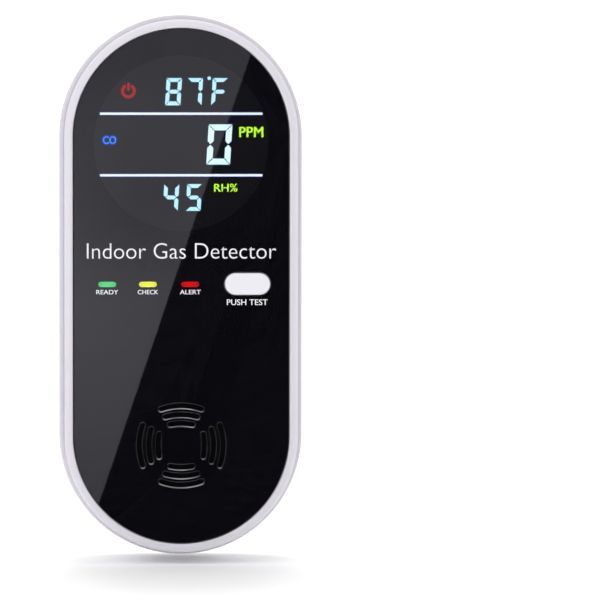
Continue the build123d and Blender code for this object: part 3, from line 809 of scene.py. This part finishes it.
def arrow(name, tail, head, barb):
    """Raised line from tail to head, with one short barb back from the head."""
    curve = bpy.data.curves.new(name, "CURVE")
    curve.dimensions = "3D"
    curve.bevel_depth = 0.22 * MM
    curve.bevel_resolution = 3
    curve.use_fill_caps = True
    spline = curve.splines.new("POLY")
    spline.points.add(2)
    for point, (x, z) in zip(spline.points, (tail, head, barb)):
        point.co = (x * MM, 0.0, z * MM, 1.0)
    return flatten(curve, name)


raised_words = [
    ("open_letters", "OPEN", (-2.1, 13.4), (10.6, 2.7)),
    ("lock_letters", "LOCK", (-2.5, -15.2), (9.9, 2.6)),
]
arrows = [
    ("open_arrow", (4.0, 13.3), (7.2, 13.3), (6.2, 14.0)),
    ("lock_arrow", (3.4, -14.8), (6.8, -14.8), (5.8, -14.1)),
]
sunk, raised_depth = -0.05, 0.17
for name, text, centre, size in raised_words:
    letters = lettering(name, text, centre, size, sunk, raised_depth, spacing=1.05, behind=True)
    mark(letters, finishes["white_shell"], "plug")
for name, tail, head, barb in arrows:
    mark(arrow(name, tail, head, barb), finishes["white_shell"], "plug")


# ---- camera -------------------------------------------------------------------------------------

lens, sensor = 250.0, 36.0
azimuth, elevation = radians(-1.1), radians(2.2)
frame_width = 130.86 * MM
aim = Vector((0.0, -25 * MM, middle_z * MM))
distance = lens / sensor * frame_width
backwards = Vector((sin(azimuth) * cos(elevation), -cos(azimuth) * cos(elevation), sin(elevation)))
camera_data = bpy.data.cameras.new("camera")
camera_data.lens = lens
camera_data.sensor_width = sensor
camera_data.shift_x = 0.1991
camera_data.shift_y = -0.0251
camera_data.clip_end = 50
camera = put("camera", camera_data)
camera.location = aim + distance * backwards
camera.rotation_euler = (-backwards).to_track_quat("-Z", "Y").to_euler()
scene.camera = camera


# ---- studio -------------------------------------------------------------------------------------

def sweep_profile():
    """Side view of the paper: flat under the object, then curving up far behind it."""
    front, rear, radius, top = -3.0, 1.1, 0.7, 2.6
    steps = 16
    profile = [(front, 0.0), (-0.6, 0.0), (-0.2, 0.0), (0.2, 0.0), (rear, 0.0)]
    for step in range(1, steps + 1):
        angle = step / steps * pi / 2
        profile.append((rear + radius * sin(angle), radius * (1 - cos(angle))))
    return profile + [(rear + radius, top)]


def sweep_floor():
    """Pale paper that glows with painted light, faintly near the object and more far away, and lies a little
    below the object so that its shadow is soft.
    """
    half_width, gap = 3.0, 1.4 * MM
    floor_z = cad_box[0].z - gap
    mesh = bmesh.new()
    rows = []
    for y, z in sweep_profile():
        rows.append([mesh.verts.new((x, y, z + floor_z)) for x in (-half_width, half_width)])
    for first, second in zip(rows, rows[1:]):
        mesh.faces.new((first[0], first[1], second[1], second[0]))
    data = bpy.data.meshes.new("studio_floor")
    mesh.to_mesh(data)
    mesh.free()
    data.shade_smooth()
    obj = put("studio_floor", data)
    look = Look("studio_paper")
    look.set(
        Base_Color=look.mix(look.noise(60, 3), rgb(251, 251, 251), rgb(249, 249, 250)),
        Roughness=look.span(look.noise(5, 2), 0.55, 0.65),
        # Painted light: the paper's own glow, faint beside the object and stronger further away
        Emission_Color=(1, 1, 1, 1),
        Emission_Strength=look.span(look.distance((0, 0, 0), FLOOR_PLANE), 0.08, 0.4, 0.2, 1.4),
    )
    dress(obj, look.relief((look.noise(0.6, 2), 0.01)))
    obj.visible_glossy = False


def far_wall():
    """Bright ring round the studio, seen only directly, so the floor has no visible end."""
    steps, radius, low, high = 48, 2.9, -0.5, 4.0
    corners = []
    for step in range(steps):
        angle = 2 * pi * step / steps
        corners.append((radius * cos(angle), radius * sin(angle), low))
        corners.append((radius * cos(angle), radius * sin(angle), high))
    faces = []
    for step in range(steps):
        first, second = 2 * step, 2 * ((step + 1) % steps)
        faces.append((first, second, second + 1, first + 1))
    data = bpy.data.meshes.new("studio_wall")
    data.from_pydata(corners, [], faces)
    obj = put("studio_wall", data)
    look = Look("studio_wall")
    shade = look.mix(look.noise(400, 1), rgb(252, 252, 252), rgb(255, 255, 255))
    look.set(Base_Color=(0, 0, 0, 1), Specular_IOR_Level=0.0, Emission_Color=shade, Emission_Strength=1.0)
    dress(obj, look)
    obj.visible_diffuse = False
    obj.visible_glossy = False
    obj.visible_transmission = False
    obj.visible_shadow = False


def glowing_card(name, corners, brightest, middle, fading, reach):
    """A card seen only in the gloss, brightest at its middle and fading by a share over a distance."""
    data = bpy.data.meshes.new(name)
    data.from_pydata(corners, [], [tuple(range(len(corners)))])
    obj = put(name, data)
    obj.visible_camera = False
    obj.visible_diffuse = False
    obj.visible_transmission = False
    obj.visible_shadow = False
    look = Look(name)
    emission = look.add("ShaderNodeEmission", {"Color": (0.96, 0.94, 1.06, 1.0)})
    away = look.distance(middle, FRONT_PLANE)
    look.feed(emission.inputs["Strength"], look.span(away, brightest, brightest * (1 - fading), 0, reach))
    look.feed(look.output.inputs["Surface"], emission.outputs[0])
    dress(obj, look)


def seen_in_panel(x, z, card_distance):
    """Where the camera sees a point mirrored: on a plane at that distance in front of the panel."""
    point = Vector((x * MM, panel_face * MM, (z + middle_z) * MM))
    ray = point - camera.location
    ray.y = -ray.y
    return point + ray * (card_distance / -ray.y)


def reflection_cards():
    """Light card and dark flag that meet on the slanting line across the glossy panel."""
    card_distance, card_width, beyond = 1.4, 2.2, 1.2
    top = seen_in_panel(15.0, 50.2, card_distance)
    bottom = seen_in_panel(-17.9, -47.1, card_distance)
    middle = seen_in_panel(-23.0, -5.0, card_distance)
    along = (top - bottom).normalized()
    high, low = top + along * beyond, bottom - along * beyond
    left, right = Vector((-card_width, 0, 0)), Vector((card_width, 0, 0))
    glowing_card("light_card", [high, low, low + left, high + left], 1.45, middle, 0.45, 0.14)
    glowing_card("dark_flag", [high, high + right, low + right, low], 0.03, middle, 0.1, 1.0)


def soft_light(name, place, target, size, power):
    data = bpy.data.lights.new(name, "AREA")
    data.shape = "RECTANGLE"
    data.size, data.size_y = size
    data.energy = power
    obj = put(name, data)
    obj.location = place
    obj.rotation_euler = (Vector(target) - Vector(place)).to_track_quat("-Z", "Y").to_euler()
    obj.visible_camera = False
    obj.visible_glossy = False


def pale_surroundings():
    world = bpy.data.worlds.new("surroundings")
    world.use_nodes = True
    background = world.node_tree.nodes["Background"]
    background.inputs["Color"].default_value = (1.0, 1.0, 1.0, 1.0)
    background.inputs["Strength"].default_value = 0.78
    scene.world = world


sweep_floor()
far_wall()
reflection_cards()
pale_surroundings()
soft_light("key", (-0.7, -0.9, 0.9), (0, -0.02, -0.03), (0.7, 0.7), 2.6)
soft_light("rear_key", (0.0, 0.47, 0.95), (0, 0, -0.05), (0.45, 0.3), 3)
soft_light("overhead", (0, 0.0, 1.2), (0, 0, 0), (1.2, 1.2), 3)
